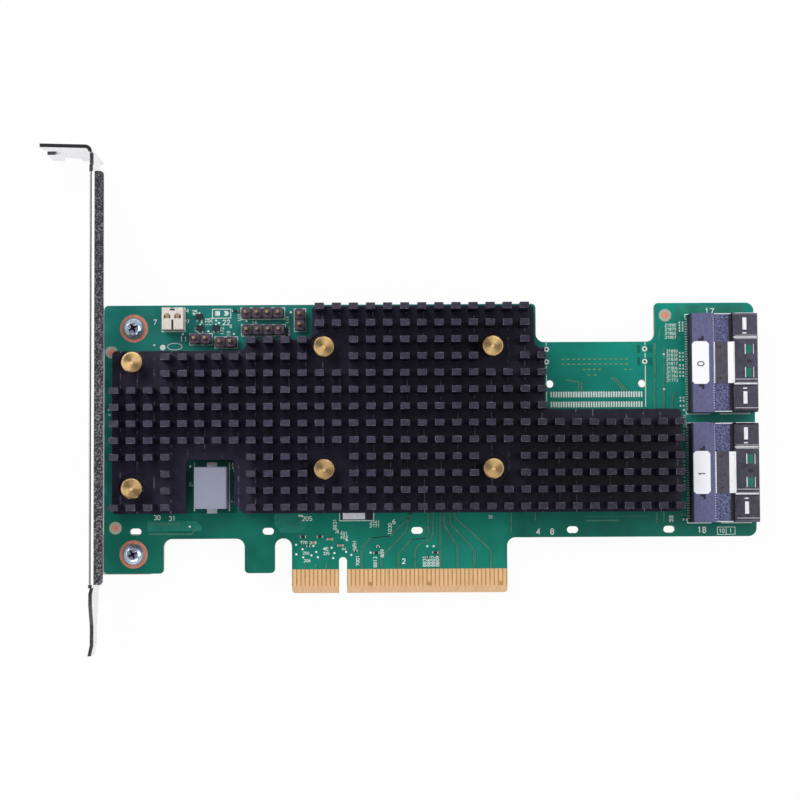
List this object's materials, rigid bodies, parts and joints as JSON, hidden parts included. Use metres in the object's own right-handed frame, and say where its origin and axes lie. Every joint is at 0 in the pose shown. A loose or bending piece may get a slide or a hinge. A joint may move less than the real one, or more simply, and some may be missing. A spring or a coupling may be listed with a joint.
{
  "type": "host bus adapter",
  "caption": "Storage controller card: green circuit board with a black pin-fin heat sink, two right-angled cable sockets and a full-height vented bracket.",
  "frame": {"origin": "centre line of the key notch at the lower edge of the contact tab, on the component face", "axes": "+X along the card away from the bracket, +Y up across the card from the contact edge, +Z out of the component face"},
  "size_m": [0.169, 0.12, 0.0184],
  "materials": {
    "board_green": "glossy solder mask on woven laminate",
    "contact_gold": "gold plated",
    "bracket_steel": "plated sheet steel",
    "screw_steel": "bright plated",
    "package_green": "package laminate",
    "package_lid": "matte nickel",
    "thermal_grey": "soft gap filler",
    "anodised_black": "black anodised",
    "turned_brass": "turned",
    "spring_steel": "bright wire",
    "nut_steel": "plated",
    "ferrite_grey": "pressed powder",
    "tin": "matte tin",
    "connector_black": "moulded",
    "connector_beige": "moulded",
    "socket_lilac": "moulded",
    "shell_steel": "bright rolled sheet",
    "label_white": "paper",
    "chip_black": "moulded",
    "capacitor_tan": "ceramic"
  },
  "bodies": {
    "root": {"circuit_board": "board_green", "edge_contacts_front": "contact_gold", "edge_contacts_back": "contact_gold", "bracket": "bracket_steel", "bracket_screws": "screw_steel", "controller_substrate": "package_green", "controller_lid": "package_lid", "thermal_pad": "thermal_grey", "heat_sink": "anodised_black", "heat_sink_screws": "turned_brass", "heat_sink_springs": "spring_steel", "heat_sink_nuts": "nut_steel", "inductor_body": "ferrite_grey", "inductor_terminals": "tin", "latch_connector_body": "connector_beige", "latch_connector_pins": "tin", "chip_resistors": "chip_black", "ceramic_capacitors": "capacitor_tan", "small_transistors": "chip_black", "indicator_block": "connector_beige", "header_four_upper_body": "connector_black", "header_four_upper_pins": "contact_gold", "header_four_lower_body": "connector_black", "header_four_lower_pins": "contact_gold", "header_two_left_body": "connector_black", "header_two_left_pins": "contact_gold", "header_two_middle_body": "connector_black", "header_two_middle_pins": "contact_gold", "header_two_side_body": "connector_black", "header_two_side_pins": "contact_gold", "cable_socket_upper_housing": "socket_lilac", "cable_socket_upper_shell": "shell_steel", "cable_socket_upper_latch_plate": "shell_steel", "cable_socket_upper_label": "label_white", "cable_socket_upper_contacts": "tin", "cable_socket_lower_housing": "socket_lilac", "cable_socket_lower_shell": "shell_steel", "cable_socket_lower_latch_plate": "shell_steel", "cable_socket_lower_label": "label_white", "cable_socket_lower_contacts": "tin"}
  },
  "joints": []
}
